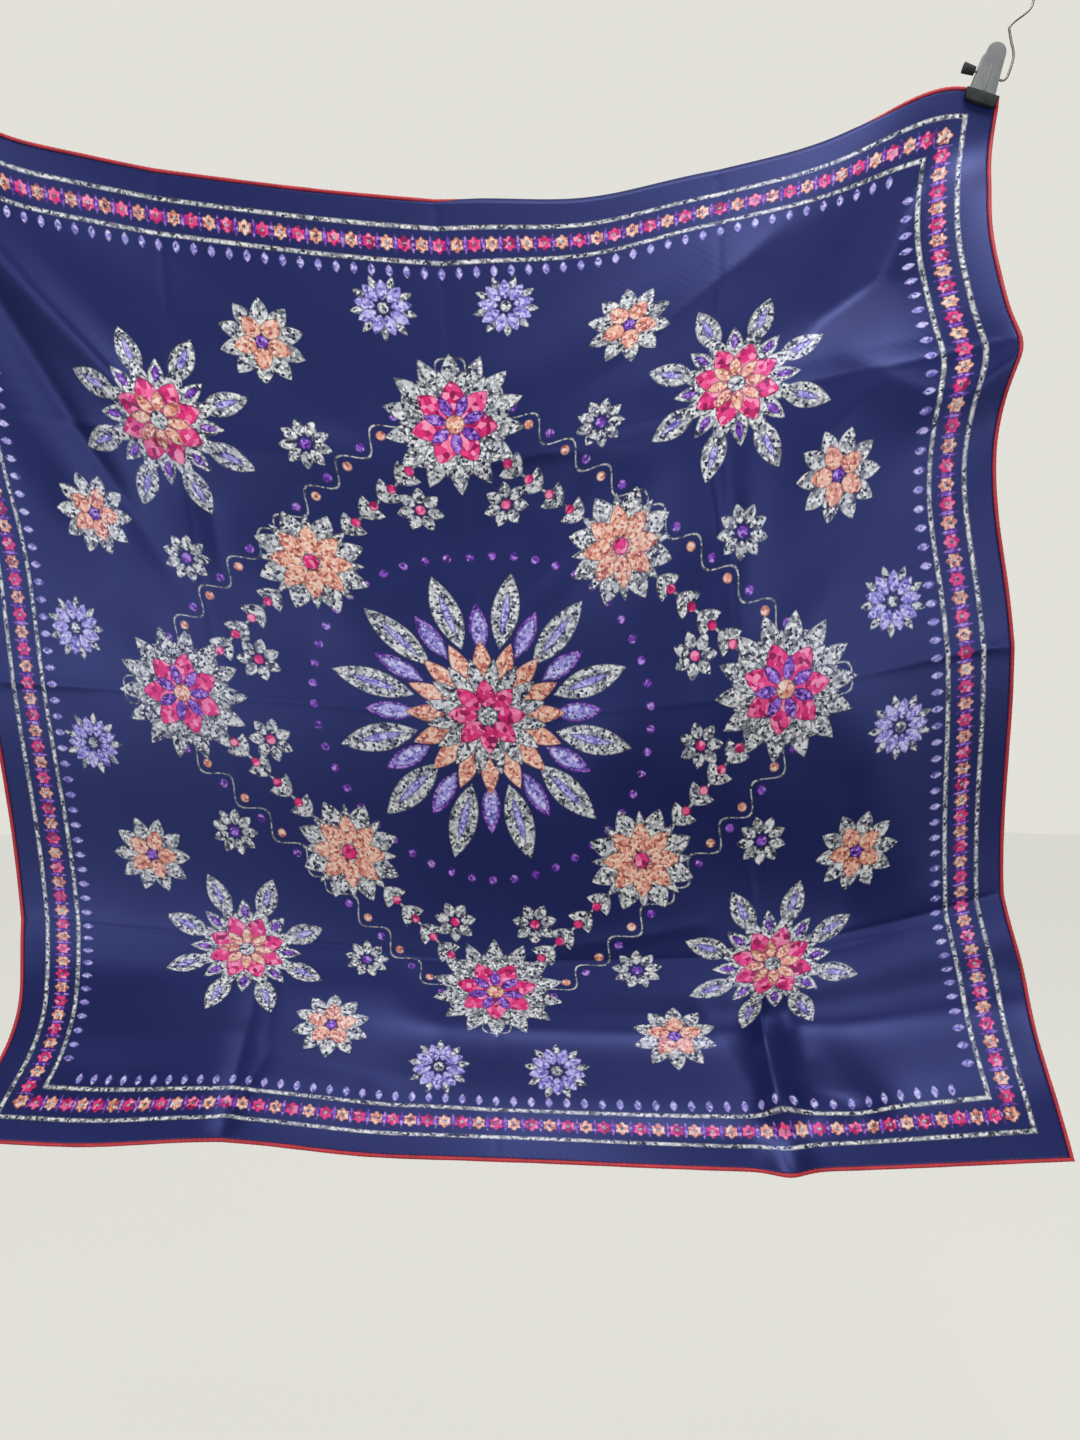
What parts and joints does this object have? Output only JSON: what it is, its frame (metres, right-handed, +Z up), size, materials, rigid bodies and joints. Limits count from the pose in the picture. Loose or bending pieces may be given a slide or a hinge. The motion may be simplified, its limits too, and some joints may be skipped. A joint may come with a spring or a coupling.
{
  "type": "silk square scarf hung from two clip hooks",
  "caption": "Printed silk square scarf with rolled hems and storage folds, hanging by its upper corners from spring clips on bent wire hooks.",
  "frame": {"origin": "crown of the right wire hook, on the inner side of the wire where it rests on a rail", "axes": "+Z up, +X to the viewer's right along the top edge, -Y out of the printed side towards the viewer"},
  "size_m": [0.9746, 0.1449, 0.9332],
  "materials": {
    "printed_silk": "satin twill with a lustre",
    "red_hem": "rolled and hand sewn silk",
    "grey_plastic": "fine grained moulding",
    "black_rubber": "matt",
    "steel_wire": "drawn wire"
  },
  "bodies": {
    "root": {"silk_square": "printed_silk", "hem_top": "red_hem", "hem_right": "red_hem", "hem_bottom": "red_hem", "hem_left": "red_hem", "clip_right_front_lever": "grey_plastic", "clip_right_back_lever": "grey_plastic", "clip_right_front_pad": "black_rubber", "clip_right_back_pad": "black_rubber", "clip_right_spring": "steel_wire", "clip_right_wire_cap": "black_rubber", "wire_hook_right": "steel_wire", "clip_left_front_lever": "grey_plastic", "clip_left_back_lever": "grey_plastic", "clip_left_front_pad": "black_rubber", "clip_left_back_pad": "black_rubber", "clip_left_spring": "steel_wire", "clip_left_wire_cap": "black_rubber", "wire_hook_left": "steel_wire"}
  },
  "joints": []
}
